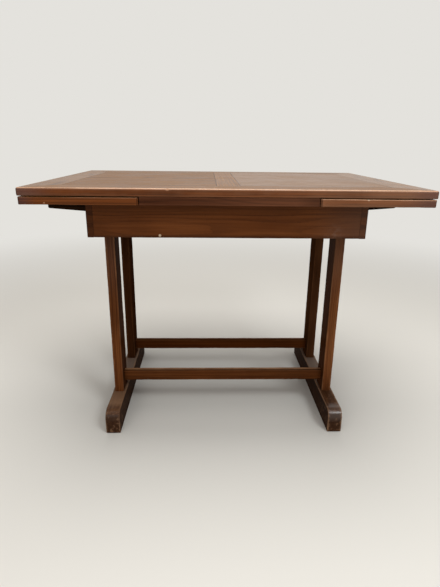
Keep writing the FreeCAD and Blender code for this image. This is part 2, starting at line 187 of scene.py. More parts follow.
# The top's very pale worn colour stands partly for wear and partly for a painted highlight along its
# front arris
TOP_STAIN = Stain((44, 21, 10), (85, 45, 22), (109, 63, 35), (216, 174, 144),
                  rough=0.42, polish=0.6, wear=0.95, figure=0.55)
MUNTIN_STAIN = Stain((54, 27, 13), (100, 57, 30), (124, 77, 46), (190, 145, 110),
                     rough=0.42, polish=0.525, wear=0.5, figure=0.5)
LEFT_LEAF_STAIN = Stain((46, 22, 10), (86, 46, 22), (112, 66, 37), (168, 122, 92),
                        rough=0.45, polish=0.3, wear=0.4, figure=0.7)
# The right leaf's pale worn colour stands partly for wear and partly for a painted highlight along its
# front arris
RIGHT_LEAF_STAIN = Stain((52, 27, 16), (96, 58, 37), (122, 80, 54), (206, 158, 126),
                         rough=0.45, polish=0.36, wear=0.95, figure=0.6)
BOARD_STAIN = Stain((32, 15, 7), (64, 33, 17), (82, 45, 26), (130, 84, 60),
                    rough=0.5, polish=0.1, wear=0.2, figure=0.6)
APRON_STAIN = Stain((46, 22, 10), (102, 55, 24), (121, 69, 34), (146, 98, 66),
                    rough=0.5, polish=0.1, wear=0.12, figure=0.45)
POST_STAIN = Stain((40, 19, 8), (94, 50, 23), (122, 72, 38), (156, 110, 76),
                   rough=0.5, polish=0.03, wear=0.55, figure=0.6)
STRETCHER_STAIN = Stain((34, 16, 7), (80, 42, 18), (108, 62, 31), (162, 120, 86),
                        rough=0.5, polish=0.03, wear=0.08, figure=0.7)
# Darker copies of the post and stretcher stains for the rear end: painted shade under the table
REAR_POST_PAINTED_SHADE_STAIN = Stain((23, 12, 6), (52, 27, 12), (70, 38, 18), (104, 68, 43),
                        rough=0.5, polish=0.0, wear=0.4, figure=0.7)
REAR_STRETCHER_PAINTED_SHADE_STAIN = Stain((28, 13, 5), (66, 31, 10), (84, 43, 16), (118, 78, 52),
                             rough=0.5, polish=0.0, wear=0.3, figure=0.7)
FOOT_STAIN = Stain((34, 19, 11), (74, 45, 27), (100, 66, 43), (146, 112, 86),
                   rough=0.45, polish=0.08, wear=0.75, figure=0.6)
# A dark wood for the bearers and stops, made darker still as painted shade under the leaves
BEARER_DARK_WOOD_AND_SHADE_STAIN = Stain((16, 9, 5), (36, 22, 13), (50, 33, 21), (74, 52, 36),
                     rough=0.7, polish=0.0, wear=0.15, figure=0.6)
BARE_STAIN = Stain((44, 24, 13), (84, 52, 31), (108, 72, 46), (118, 84, 58),
                   rough=0.7, polish=0.0, wear=0.2, figure=0.7)
UNDERSIDE = linear(104, 76, 52)
OLD_VARNISH = linear(132, 68, 24)
FADED_TOP = linear(130, 90, 42)
TOP_SOIL = linear(95, 74, 72)
LEAF_SOIL = linear(62, 54, 60)
# Grey painted over the apron box's right end as a painted sheen, and over the posts' upper parts as
# painted shade
PAINTED_SHEEN_AND_SHADE_GREY = linear(84, 66, 58)
RAW_OAK = linear(210, 186, 158)
DENTED_OAK = linear(170, 124, 92)
SCUFF_GREY = linear(126, 98, 84)
# A pale grey painted as a sheen on the feet's upper faces between the posts
FOOT_PAINTED_SHEEN_GREY = linear(138, 122, 110)
STEEL = linear(128, 124, 118)
RUST = linear(92, 62, 44)

# Noise in the wood: waves per metre along the grain, across it and through it, detail, roughness
DRIFT = (1.6, 9.0, 9.0), 2.0, 0.55
WAVER = (5.0, 60.0, 60.0), 3.0, 0.55
STREAKS = (3.0, 150.0, 150.0), 4.0, 0.6
FIBRES = (14.0, 800.0, 800.0), 3.0, 0.6
PORES = (60.0, 1400.0, 1400.0), 1.0, 0.55
PATCHES = (3.0, 8.0, 8.0), 2.0, 0.55
RED_STREAKS = (4.0, 90.0, 90.0), 3.0, 0.55
DARK_LINES = (1.2, 330.0, 330.0), 2.0, 0.55

# Noise that is the same along every axis: waves per metre, detail, roughness
SMEARS = 11.0, 4.0, 0.6
WEAR_EDGE = 30.0, 4.0, 0.65
HANDLING = 8.0, 2.0, 0.55
APRON_SCUFFS = 90.0, 4.0, 0.65
SHOE_RUB_AND_LIGHT_PATCHES = 20.0, 4.0, 0.6
FOOT_KICKS = 75.0, 4.0, 0.65
SCREW_PITS = 420.0, 4.0, 0.6

# The stretch of a noise that a finish answers to
STREAK_RANGE = 0.3, 0.72
SMEAR_RANGE = 0.3, 0.75

# Sizes in the wood and its wear, in metres
RING_WIDTH = 0.0042
DRIFT_DEPTH = 0.030
WAVER_DEPTH = 0.0022
PORE_DEPTH = 0.0006
PIT_DEPTH = 0.0003
GRIME_RUN = 0.0002, 0.0016
WORN_DROP = 0.0034
MARGIN = 0.0042, 0.0080
# The front arris's wide pale band is partly wear and partly a painted highlight
FRONT_MARGIN = 0.008, 0.018
FOOT_NOSE = 0.028
PANEL_TONGUE = Vector((0.0074, 0.0074, 0))
MUNTIN_TONGUE = Vector((0, 0.007, 0))

COAT_ROUGHNESS = 0.24
NOSE_COAT_ROUGHNESS = 0.28

# Turns that lay each grain direction along a finish's own X
GRAIN_TURN = {"x": (0, 0, 0), "y": (0, 0, -math.pi / 2), "z": (0, math.pi / 2, 0)}

# A knock in an arris, grubby ends of a slab, and painted light that grows between two places along X
Chip = namedtuple("Chip", "place reach depth colour")
Soil = namedtuple("Soil", "ends colour reach")
Fade = namedtuple("Fade", "start end at_start at_end")


class Board:
    """One board of the table, and how it was sawn, stained and worn.

    grain is the axis that the fibres follow, and log the board's place from its log's heart in
    metres. hidden names the box sides, such as "+y", that meet another board, tongue is how far
    the box runs past the part that shows, and mitre gives the corners of a mitred frame. A slab is
    worn on its upper arrises, partly as a painted highlight, and left unstained below. nose is the
    radius of a foot's round ends, knocks how deep the arrises are knocked in, handled the least share
    of their wear, margin the narrow and wide reach of that wear, and polish the weight of the coat.
    handled and polish may be functions that work their value out from the place on the board.
    end_dark is how far the end grain is darkened. soil is for the edges of a mitred frame, bleached
    is painted light from the right on upright faces, marks is a function that adds a board's own
    stains and its painted light and shade, and chips are its knocks.
    """

    def __init__(self, node, stain, grain, log, hidden=(), tongue=Vector(), mitre=None, slab=False,
                 nose=0.0, knocks=0.0, handled=0.3, margin=MARGIN, polish=None, end_dark=0.6,
                 soil=None, painted_window_light=None, marks=None, chips=()):
        self.node, self.stain, self.grain, self.log = node, stain, grain, Vector(log)
        self.hidden, self.mitre, self.slab, self.nose = hidden, mitre, slab, nose
        self.knocks, self.handled, self.margin = knocks, handled, margin
        self.end_dark, self.soil, self.painted_window_light = end_dark, soil, painted_window_light
        self.marks, self.chips = marks, chips
        self.polish = stain.polish if polish is None else polish
        self.low, self.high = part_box(node)
        self.shown = self.low + tongue, self.high - tongue


def nearest_sides(made, low, high, chosen):
    """For each axis, the distance to the nearer of the box sides that chosen names, or 1 metre."""
    reach = []
    for name, value, lowest, highest in zip(AXES, made.parts(made.place.outputs["Object"]), low, high):
        sides = []
        if "-" + name in chosen:
            sides.append(made.minus(value, lowest))
        if "+" + name in chosen:
            sides.append(made.minus(highest, value))
        if len(sides) == 2:
            sides = [made.lesser(sides[0], sides[1])]
        reach.append(sides[0] if sides else 1.0)
    return reach


def arris_distance(made, board):
    """Distance to the nearest exposed arris: the middle one of the three side distances."""
    a, b, c = nearest_sides(made, board.low, board.high, ALL_SIDES - set(board.hidden))
    if board.nose:
        inside = [made.greater(made.minus(board.nose, d), 0.0) for d in (b, c)]
        return made.greater(a, made.minus(board.nose, made.hypotenuse(*inside)))
    small = made.lesser(a, b)
    large = made.greater(a, b)
    return made.greater(small, made.lesser(large, c))


def joint_distance(made, board):
    """Distance to the nearest joint line: the hidden sides, and a frame's mitres."""
    a, b, c = nearest_sides(made, *board.shown, board.hidden)
    near = made.unsigned(made.lesser(made.lesser(a, b), c))
    if board.mitre:
        centre = (board.mitre[0] + board.mitre[1]) / 2
        half = (board.mitre[1] - board.mitre[0]) / 2
        from_end = made.minus(half.x, made.unsigned(made.minus(made.at("x"), centre.x)))
        from_side = made.minus(half.y, made.unsigned(made.minus(made.at("y"), centre.y)))
        slant = made.unsigned(made.minus(from_end, from_side))
        near = made.lesser(near, made.times(slant, math.sqrt(0.5)))
    return near


def away_from(made, place):
    """Distance from one point of a board."""
    node = made.add("ShaderNodeVectorMath", operation="DISTANCE")
    made.feed(node.inputs[0], made.place.outputs["Object"])
    node.inputs[1].default_value = place
    return node.outputs["Value"]


def sawn_place(made, board):
    """Object coordinates laid along the board's grain, from the heart of its log."""
    turn = Matrix.Identity(3)
    for axis, angle in zip("XYZ", GRAIN_TURN[board.grain]):
        turn = Matrix.Rotation(angle, 3, axis) @ turn
    sawn = made.add("ShaderNodeMapping", vector_type="POINT")
    made.feed(sawn.inputs["Vector"], made.place.outputs["Object"])
    sawn.inputs["Rotation"].default_value = GRAIN_TURN[board.grain]
    sawn.inputs["Location"].default_value = board.log - turn @ ((board.low + board.high) / 2)
    return sawn.outputs["Vector"]


def year_rings(made, wood):
    """The open early wood of each year's ring, stronger in some years than in others."""
    drift = made.noise(wood, *DRIFT)
    waver = made.noise(wood, *WAVER)
    _, across, depth = made.parts(wood)
    radius = made.hypotenuse(across, depth)
    radius = made.plus(radius, made.times(drift, DRIFT_DEPTH))
    radius = made.plus(radius, made.times(waver, WAVER_DEPTH))
    count = made.calc("DIVIDE", radius, RING_WIDTH)
    year = made.add("ShaderNodeTexWhiteNoise", noise_dimensions="1D")
    made.feed(year.inputs["W"], made.calc("FLOOR", count))
    early = made.spread(made.calc("FRACT", count), 0.0, 0.6, 1.0, 0.0)
    return made.times(early, made.spread(year.outputs["Value"], 0.0, 1.0, 0.35, 1.0))


class Grain:
    """The patterns in one board's wood, and the smears on its surface."""

    def __init__(self, made, board):
        self.wood = sawn_place(made, board)
        self.early = year_rings(made, self.wood)
        self.streak = made.noise(self.wood, *STREAKS)
        self.fibre = made.noise(self.wood, *FIBRES)
        pore = made.spread(made.noise(self.wood, *PORES), 0.58, 0.70)
        self.pore = made.times(pore, made.spread(self.early, 0.0, 0.7, 0.25, 1.0))
        self.patch = made.noise(self.wood, *PATCHES)
        self.smear = made.even_noise(*SMEARS)
        self.end = made.spread(made.unsigned(made.facing(board.grain)), 0.6, 0.9)
        self.upright = made.spread(made.unsigned(made.facing("z")), 0.3, 0.8, 1.0, 0.0)


def stained_colour(made, board, grain):
    """Stain that lies darker in the rings, fibres, patches, pores and end grain."""
    stain = board.stain
    colour = made.blend(made.spread(grain.streak, *STREAK_RANGE), stain.body, stain.pale)
    darker = (
        made.times(grain.early, stain.figure),
        made.spread(grain.fibre, 0.52, 0.75, 0.0, 0.28),
        made.spread(grain.patch, 0.42, 0.78, 0.0, 0.45),
        made.times(grain.pore, 0.5),
        made.times(grain.end, board.end_dark),
    )
    for share in darker:
        colour = made.blend(share, colour, stain.dark)
    return colour


def slab_colour(made, board, grain, colour):
    """A slab's edges keep red varnish and dark lines, its upper face has faded, its underside is bare."""
    red = made.spread(made.noise(grain.wood, *RED_STREAKS), 0.38, 0.62, 0.0, 0.34)
    colour = made.blend(made.times(grain.upright, red), colour, OLD_VARNISH)
    lines = made.spread(made.noise(grain.wood, *DARK_LINES), 0.5, 0.66, 0.0, 0.42)
    colour = made.blend(made.times(grain.upright, lines), colour, board.stain.dark)
    upward = made.facing("z")
    colour = made.blend(made.spread(upward, -0.9, -0.6, 0.75, 0.0), colour, UNDERSIDE)
    paling = made.times(made.spread(grain.smear, *SMEAR_RANGE, 0.54, 0.72), made.spread(upward, 0.6, 0.95))
    held_back = (
        made.spread(grain.streak, *STREAK_RANGE, 0.6, 1.2),
        made.spread(grain.early, 0.0, 0.9, 1.1, 0.45),
        made.spread(grain.fibre, 0.5, 0.75, 1.05, 0.7),
        made.spread(grain.pore, 0.0, 1.0, 1.0, 0.4),
    )
    for share in held_back:
        paling = made.times(paling, share)
    return made.blend(paling, colour, FADED_TOP)


def aged_and_painted_light_colour(made, board, grain, colour):
    """Painted light on upright faces, soil, and the board's own marks with painted light and shade, then
    grime in its joints.
    """
    # Painted light: upright faces turn paler along X, as if lit from the right
    if board.painted_window_light:
        along = made.spread(made.at("x"), *board.painted_window_light)
        uneven = made.times(grain.upright, made.spread(grain.patch, 0.35, 0.65, 1.5, 0.4))
        colour = made.blend(made.times(along, uneven), colour, board.stain.worn)
    if board.soil:
        from_end = nearest_sides(made, *board.mitre, board.soil.ends)[0]
        soiled = made.times(grain.upright, made.spread(from_end, 0.0, board.soil.reach, 0.5, 0.0))
        colour = made.blend(soiled, colour, board.soil.colour)
    if board.marks:
        colour = board.marks(made, board, colour)
    if board.hidden or board.mitre:
        grime = made.spread(joint_distance(made, board), *GRIME_RUN, 0.75, 0.0)
        grime = made.times(grime, made.minus(1.0, grain.end))
        colour = made.blend(grime, colour, board.stain.dark)
    return colour


def worn_share(made, board, grain):
    """How far the arrises are worn through their stain."""
    width = made.spread(made.even_noise(*WEAR_EDGE), 0.32, 0.76, *board.margin)
    width = made.times(width, made.spread(grain.streak, 0.3, 0.7, 0.55, 1.4))
    bare = made.calc("DIVIDE", arris_distance(made, board), width)
    least = board.handled(made) if callable(board.handled) else board.handled
    handled = made.spread(made.even_noise(*HANDLING), 0.36, 0.62, least, 1.0)
    worn = made.times(made.spread(bare, 0.0, 1.1, board.stain.wear, 0.0), handled)
    # A slab keeps its pale wear on the upper round, where it also stands for a painted highlight
    if board.slab:
        upper = made.spread(made.at("z"), board.high.z - WORN_DROP, board.high.z, 0.05, 1.0)
        worn = made.times(worn, upper)
    return worn


def coat_weight(made, board, grain):
    """The weight of the polish, patchy all over and thin on a slab's edges."""
    coat = board.polish(made, board) if callable(board.polish) else board.polish
    if not coat:
        return 0.0
    coat = made.times(made.spread(grain.smear, *SMEAR_RANGE, 1.1, 0.85), coat)
    if board.slab:
        coat = made.times(made.spread(made.facing("z"), 0.2, 0.9, 0.2, 1.0), coat)
    return coat


def oak(board):
    """Stained oak for one board: its grain, its age, its painted light and shade, its worn arrises, a
    satin coat and a fine relief.
    """
    made = Finish("oak_" + board.node)
    grain = Grain(made, board)
    colour = stained_colour(made, board, grain)
    if board.slab:
        colour = slab_colour(made, board, grain, colour)
    colour = aged_and_painted_light_colour(made, board, grain, colour)
    worn = worn_share(made, board, grain)
    colour = made.blend(worn, colour, board.stain.worn)
    for chip in board.chips:
        bare = made.spread(away_from(made, chip.place), chip.reach / 2, chip.reach, 0.9, 0.0)
        colour = made.blend(bare, colour, chip.colour)

    shader = made.shader
    made.feed(shader.inputs["Base Color"], colour)
    rough = made.spread(grain.smear, *SMEAR_RANGE, board.stain.rough - 0.05, board.stain.rough + 0.12)
    made.feed(shader.inputs["Roughness"], made.plus(rough, made.times(worn, 0.1)))
    shader.inputs["Specular IOR Level"].default_value = 0.0
    made.feed(shader.inputs["Coat Weight"], coat_weight(made, board, grain))
    shader.inputs["Coat Roughness"].default_value = NOSE_COAT_ROUGHNESS if board.nose else COAT_ROUGHNESS
    height = made.minus(made.times(grain.fibre, 0.5), grain.pore)
    made.relief(made.plus(height, made.times(grain.smear, 0.35)), PORE_DEPTH)
    return made.material


# Worn copies: cuts along a board give its arrises points that can be knocked in
MERGE = 1e-6
FLAT_ANGLE = math.radians(0.1)
SHARP_ANGLE = math.radians(32)
KNOCK_PITCH = 0.009
ARRIS_BAND = 0.008
KNOCK_REACH = 0.006
JOINT_ROOM = 0.006
LONG_KNOCK, SHORT_KNOCK = 16.0, 75.0
KNOCK_MEAN, LONG_SHARE, SHORT_SHARE = 0.35, 0.5, 0.55


def ease(value, low, high):
    """A plain number eased from 0 at low to 1 at high."""
    share = min(max((value - low) / (high - low), 0.0), 1.0)
    return share * share * (3 - 2 * share)


def plain_sides(point, low, high, chosen):
    """As nearest_sides, for one point of a mesh."""
    reach = []
    for axis, name in enumerate(AXES):
        sides = [1.0]
        if "-" + name in chosen:
            sides.append(point[axis] - low[axis])
        if "+" + name in chosen:
            sides.append(high[axis] - point[axis])
        reach.append(min(sides))
    return reach


def plain_arris(point, board):
    """As arris_distance, for one point of a mesh."""
    a, b, c = plain_sides(point, board.low, board.high, ALL_SIDES - set(board.hidden))
    if board.nose:
        inside = Vector((max(board.nose - b, 0.0), max(board.nose - c, 0.0)))
        return max(a, board.nose - inside.length)
    return sorted((a, b, c))[1]


def plain_joint(point, board):
    """As joint_distance, for one point of a mesh."""
    near = min(plain_sides(point, *board.shown, board.hidden))
    if board.mitre:
        centre = (board.mitre[0] + board.mitre[1]) / 2
        half = (board.mitre[1] - board.mitre[0]) / 2
        slant = (half.x - abs(point.x - centre.x)) - (half.y - abs(point.y - centre.y))
        near = min(near, abs(slant) * math.sqrt(0.5))
    return near


def knock_depth(point, board):
    """How far one point of an arris has been knocked in."""
    near_arris = 1 - ease(plain_arris(point, board), 0.0, KNOCK_REACH)
    if near_arris <= 0:
        return 0.0
    for chip in board.chips:
        if (point - Vector(chip.place)).length < chip.reach:
            return chip.depth * near_arris
    clear = ease(plain_joint(point, board), 0.0, JOINT_ROOM)
    long = LONG_SHARE * noise.noise(point * LONG_KNOCK + board.log)
    short = SHORT_SHARE * noise.noise(point * SHORT_KNOCK + board.log)
    return board.knocks * near_arris * clear * max(KNOCK_MEAN + long + short, 0.0)


def worn_copy(board):
    """A copy of a board's own shape, smooth at its rounds, with knocked and uneven arrises."""
    shape = bmesh.new()
    shape.from_mesh(frame["nodes"][board.node].data)
    bmesh.ops.remove_doubles(shape, verts=shape.verts[:], dist=MERGE)
    bmesh.ops.dissolve_limit(shape, angle_limit=FLAT_ANGLE, verts=shape.verts[:], edges=shape.edges[:])
    size = board.high - board.low
    for axis in range(3):
        cuts = [board.low[axis] + ARRIS_BAND, board.high[axis] - ARRIS_BAND]
        if size[axis] == max(size):
            count = round(size[axis] / KNOCK_PITCH)
            cuts += [board.low[axis] + size[axis] * n / count for n in range(1, count)]
        across = Vector([float(axis == other) for other in range(3)])
        for cut in cuts:
            everything = shape.verts[:] + shape.edges[:] + shape.faces[:]
            bmesh.ops.bisect_plane(shape, geom=everything, dist=MERGE,
                                   plane_co=across * cut, plane_no=across)
    shape.normal_update()
    moves = [(v, v.normal * knock_depth(v.co, board)) for v in shape.verts]
    for vertex, move in moves:
        vertex.co -= move
    mesh = bpy.data.meshes.new(board.node + "_worn")
    shape.to_mesh(mesh)
    shape.free()
    mesh.shade_smooth()
    mesh.set_sharp_from_angle(angle=SHARP_ANGLE)
    piece = bpy.data.objects.new(board.node + "_worn", mesh)
    bpy.context.scene.collection.objects.link(piece)
    bodies = frame["record"]["behaviour"]["bodies"]
    body = next(name for name, nodes in bodies.items() if board.node in nodes)
    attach(piece, body)
    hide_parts(board.node)
    return piece


def dress(piece, material):
    """Puts one finish on a piece's slots."""
    slots = piece.data.materials
    slots.clear()
    slots.append(material)


def make(board):
    """Finishes one board, as a worn copy where its arrises show."""
    piece = worn_copy(board) if board.knocks else frame["nodes"][board.node]
    dress(piece, oak(board))


def dull_steel(name):
    """Old countersunk screws: dark steel with rust in its pits."""
    made = Finish(name)
    pits = made.even_noise(*SCREW_PITS)
    rust = made.spread(pits, 0.45, 0.68)
    made.feed(made.shader.inputs["Base Color"], made.blend(rust, STEEL, RUST))
    made.feed(made.shader.inputs["Roughness"], made.spread(pits, 0.3, 0.7, 0.32, 0.7))
    made.feed(made.shader.inputs["Metallic"], made.minus(1.0, rust))
    made.relief(pits, PIT_DEPTH)
    return made.material


def front_spot(node, x, down):
    """A spot on a board's front face, at x along the table and so many metres below its upper side."""
    low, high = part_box(node)
    return x, low.y, high.z - down


# How deep the arrises are knocked in
TOP_KNOCKS = 0.0009
LEAF_KNOCKS = 0.0008
APRON_KNOCKS = 0.0006
TRESTLE_KNOCKS = 0.0009
FOOT_KNOCKS = 0.0014

INLAID = ("-x", "+x", "-y", "+y")
DENT = Chip(front_spot("top_front_rail", -0.152, 0.0), 0.0065, 0.0007, DENTED_OAK)
LEAF_CHIP = Chip(front_spot("right_leaf_front_rail", 0.341, 0.0), 0.0045, 0.0008, RAW_OAK)
LEAF_NICK_PLACE = front_spot("left_leaf_front_rail", -0.449, 0.0145)
APRON_CHIP = Chip(front_spot("front_apron", -0.183, 0.0915), 0.0045, 0.0008, RAW_OAK)

# Stretches along X where the wear of the slabs' arrises and the painted light on their edges change
FRONT_ARRIS_RUN = -0.4, -0.1
PATCHY_FROM = 0.39
TOP_PAINTED_LIGHT = Fade(0.0, 0.45, 0.01, 0.1)
LEFT_LEAF_PAINTED_LIGHT = Fade(-0.5, -0.22, 0.0, 0.02)
RIGHT_LEAF_PAINTED_LIGHT = Fade(0.22, 0.5, 0.1, 0.13)
TOP_SOIL_REACH = 0.1
LEFT_LEAF_SOIL_REACH = 0.05
RIGHT_LEAF_SOIL_REACH = 0.11


def front_arris_wear_and_highlight(made):
    """Wear and painted highlight on the top's front arris: full where people sit, less toward the left
    end.
    """
    return made.spread(made.at("x"), *FRONT_ARRIS_RUN, 0.65, 1.0)


def finish_top():
    """The loose top; its right half keeps more of its polish than its left."""
    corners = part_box("top_front_rail")[0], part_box("top_rear_rail")[1]
    rails = {
        "front": dict(grain="x", hidden=("+y",), polish=0.5, handled=front_arris_wear_and_highlight, margin=FRONT_MARGIN),
        "rear": dict(grain="x", hidden=("-y",), polish=0.55, handled=0.2),
        "left": dict(grain="y", hidden=("+x",), polish=0.65, handled=0.2),
        "right": dict(grain="y", hidden=("-x",), polish=0.83, handled=0.2),
    }
    soil = Soil(("-x", "+x"), TOP_SOIL, TOP_SOIL_REACH)
    for step, (side, rail) in enumerate(rails.items()):
        make(Board("top_" + side + "_rail", TOP_STAIN, log=(step * 0.7, 0.02, 0.09 + step * 0.01),
                   mitre=corners, slab=True, knocks=TOP_KNOCKS, soil=soil, painted_window_light=TOP_PAINTED_LIGHT,
                   chips=(DENT,), **rail))
    make(Board("top_muntin", MUNTIN_STAIN, "y", (3.1, 0.05, 0.07), INLAID, MUNTIN_TONGUE, slab=True))
    for step, (side, polish) in enumerate((("left", 0.46), ("right", 0.68))):
        make(Board("top_" + side + "_panel", TOP_STAIN, "x", (5.0 + step, 0.03 - 0.05 * step, 0.11),
                   INLAID, PANEL_TONGUE, slab=True, polish=polish))


def right_leaf_wear_and_highlight(made):
    """Wear and painted highlight on the right leaf's arrises: full toward the middle of the table, patchy
    toward its end.
    """
    return made.spread(made.at("x"), LEAF_CHIP.place[0], PATCHY_FROM, 1.0, 0.2)


def finish_leaf(side, stain, first_log, handled, painted_window_light, soil_reach):
    """One draw leaf with a grubby outer end, and its bearers and stops."""
    name = side + "_leaf_"
    outward, inward = ("-x", "+x") if side == "left" else ("+x", "-x")
    nick = Chip(LEAF_NICK_PLACE, 0.0025, 0.0004, stain.worn)
    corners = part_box(name + "front_rail")[0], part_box(name + "rear_rail")[1]
    rails = {
        "front_rail": dict(grain="x", hidden=("+y",)),
        "rear_rail": dict(grain="x", hidden=("-y",)),
        "outer_rail": dict(grain="y", hidden=(inward,)),
        "inner_rail": dict(grain="y", hidden=(outward,)),
    }
    soil = Soil((outward,), LEAF_SOIL, soil_reach)
    for step, (place, rail) in enumerate(rails.items()):
        make(Board(name + place, stain, log=(first_log + step * 0.9, 0.05, 0.08 + 0.012 * step),
                   mitre=corners, slab=True, knocks=LEAF_KNOCKS, handled=handled, soil=soil,
                   painted_window_light=painted_window_light, chips=(LEAF_CHIP, nick), **rail))
    make(Board(name + "panel", stain, "x", (first_log + 4, 0.04, 0.1), INLAID, PANEL_TONGUE, slab=True))
    for step, end in enumerate(("front", "rear")):
        make(Board(name + end + "_bearer", BEARER_DARK_WOOD_AND_SHADE_STAIN, "x", (first_log + 6 + step, 0.06, 0.03)))
    make(Board(name + "stops", BEARER_DARK_WOOD_AND_SHADE_STAIN, "x", (first_log + 8, 0.05, 0.05)))


# Marks, painted light and painted shade on the apron box and the centre board: stretches along X, and
# reaches from a side or a line
# Reach along X of the painted sheen on the apron box
APRON_PAINTED_SHEEN_RUN = 0.2, 0.37
# Painted light from the right on the apron box and the centre board
APRON_PAINTED_LIGHT = Fade(0.1, 0.37, 0.0, 0.13)
BOARD_PAINTED_LIGHT = Fade(-0.22, 0.22, 0.0, 0.24)
# Reach of the painted shade on the centre board beside the right leaf
BOARD_PAINTED_SHADE_REACH = 0.07
CORNER_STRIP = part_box("left_apron")[1].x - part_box("left_apron")[0].x
STRIP_EDGE = 0.001
STRIP_LINE_RUN = 0.0004, 0.0016
# Painted shade under the leaf along the apron's upper edge, and a darker band along its lower edge
UPPER_PAINTED_SHADE_RUN = 0.008, 0.045
LOWER_EDGE_DARK_RUN = 0.001, 0.012
SCUFF_PLACE = front_spot("front_apron", 0.29, 0.086)
SCUFF_REACH = 0.036


def painted_sheen_right_end(made, board, colour):
    """Painted sheen: the apron box turns grey toward its right end."""
    return made.blend(made.spread(made.at("x"), *APRON_PAINTED_SHEEN_RUN, 0.0, 0.45), colour, PAINTED_SHEEN_AND_SHADE_GREY)


def board_marks(made, board, colour):
    """Painted shade on the centre board beside the right leaf."""
    from_leaf = nearest_sides(made, board.low, board.high, ("+x",))[0]
    return made.blend(made.spread(from_leaf, 0.0, BOARD_PAINTED_SHADE_REACH, 0.4, 0.0), colour, board.stain.dark)


def apron_marks(made, board, colour):
    """Dark corner strips over the dovetails, painted shade under the leaf along the upper edge, a darker
    lower edge, a grey scuff, and painted sheen toward the right end.
    """
    colour = painted_sheen_right_end(made, board, colour)
    from_end, _, from_above = nearest_sides(made, board.low, board.high, ("-x", "+x", "+z"))
    for end, share in (("-x", 0.4), ("+x", 0.1)):
        reach = nearest_sides(made, board.low, board.high, (end,))[0]
        strip = made.spread(reach, CORNER_STRIP - STRIP_EDGE, CORNER_STRIP + STRIP_EDGE, share, 0.0)
        colour = made.blend(strip, colour, board.stain.dark)
    from_line = made.unsigned(made.minus(from_end, CORNER_STRIP))
    from_below = nearest_sides(made, board.low, board.high, ("-z",))[2]
    darker = (
        made.spread(from_line, *STRIP_LINE_RUN, 0.45, 0.0),
        made.spread(from_above, *UPPER_PAINTED_SHADE_RUN, 0.3, 0.0),
        made.spread(from_below, *LOWER_EDGE_DARK_RUN, 0.75, 0.0),
    )
    for share in darker:
        colour = made.blend(share, colour, board.stain.dark)
    near = made.spread(away_from(made, SCUFF_PLACE), 0.0, SCUFF_REACH, 1.0, 0.0)
    patchy = made.spread(made.even_noise(*APRON_SCUFFS), 0.42, 0.66, 0.05, 0.45)
    return made.blend(made.times(near, patchy), colour, SCUFF_GREY)


# Marks, painted light and painted shade on the trestles: heights, reaches from a stretcher's front, and
# reaches from a foot's nose
# Heights over which the posts take painted shade under the apron
POST_PAINTED_SHADE_RISE = 0.36, 0.56
# Heights over which the right-hand posts take painted light
POST_PAINTED_LIGHT_RUN = 0.0, 0.3
# Reaches on a stretcher's upper face: a darker band at its front, and a pale band that is partly shoe
# rubs and partly painted light
UPPER_FRONT_DARK_RUN = 0.004, 0.008
SHOE_RUB_AND_LIGHT_RUN = 0.004, 0.010
# Reaches along a foot: its paler upper face, and the painted sheen between the posts
FOOT_TOP_PALE_RUN = 0.05, 0.3
FOOT_PAINTED_SHEEN_RUN = 0.12, 0.24
FOOT_KICK_RUN = 0.02, 0.16
NOSE_GLOSS_RUN = 0.02, 0.06
NOSE_GLOSS_RISE = 0.03, 0.055


def inward_painted_shade(made, board):
    """How far a face of a trestle looks inward, where painted shade darkens it."""
    return made.spread(made.times(made.facing("x"), -1.0 if board.low.x > 0 else 1.0), 0.5, 0.9)


def post_marks(made, board, colour):
    """Painted shade: dark inner sides, and grey toward the apron."""
    colour = made.blend(made.spread(made.at("z"), *POST_PAINTED_SHADE_RISE, 0.0, 0.35), colour, PAINTED_SHEEN_AND_SHADE_GREY)
    return made.blend(made.times(inward_painted_shade(made, board), 0.75), colour, board.stain.dark)


def stretcher_marks(made, board, colour):
    """An upper face made pale, partly by shoe rubs and partly as painted light, and darker along its
    front.
    """
    upward = made.facing("z")
    from_front = nearest_sides(made, board.low, board.high, ("-y",))[1]
    dark = made.times(made.spread(upward, 0.2, 0.6), made.spread(from_front, *UPPER_FRONT_DARK_RUN, 0.4, 0.0))
    colour = made.blend(dark, colour, board.stain.dark)
    above = made.times(made.spread(upward, 0.5, 0.95), made.spread(from_front, *SHOE_RUB_AND_LIGHT_RUN))
    rubbed = made.times(above, made.spread(made.even_noise(*SHOE_RUB_AND_LIGHT_PATCHES), 0.3, 0.7, 0.55, 1.0))
    return made.blend(rubbed, colour, board.stain.worn)


def foot_marks(ramp):
    """Kicked noses with pale scuffs, an upper face paler toward the nose, a grey painted sheen on the
    upper face between the posts, and painted shade on the inner sides.
    """
    def marks(made, board, colour):
        colour = post_marks(made, board, colour)
        from_nose = nearest_sides(made, board.low, board.high, ("-y", "+y"))[1]
        above = made.spread(made.facing("z"), 0.5, 0.95)
        paling = made.times(above, made.spread(from_nose, *FOOT_TOP_PALE_RUN, ramp, 0.0))
        paling = made.times(paling, made.spread(from_nose, FOOT_NOSE, 2 * FOOT_NOSE, 0.2, 1.0))
        colour = made.blend(paling, colour, board.stain.worn)
        painted_sheen = made.times(above, made.spread(from_nose, *FOOT_PAINTED_SHEEN_RUN, 0.0, 0.6))
        colour = made.blend(painted_sheen, colour, FOOT_PAINTED_SHEEN_GREY)
        near = made.spread(from_nose, *FOOT_KICK_RUN, 1.0, 0.25)
        patchy = made.spread(made.even_noise(*FOOT_KICKS), 0.54, 0.68, 0.0, 0.4)
        return made.blend(made.times(near, patchy), colour, board.stain.worn)
    return marks


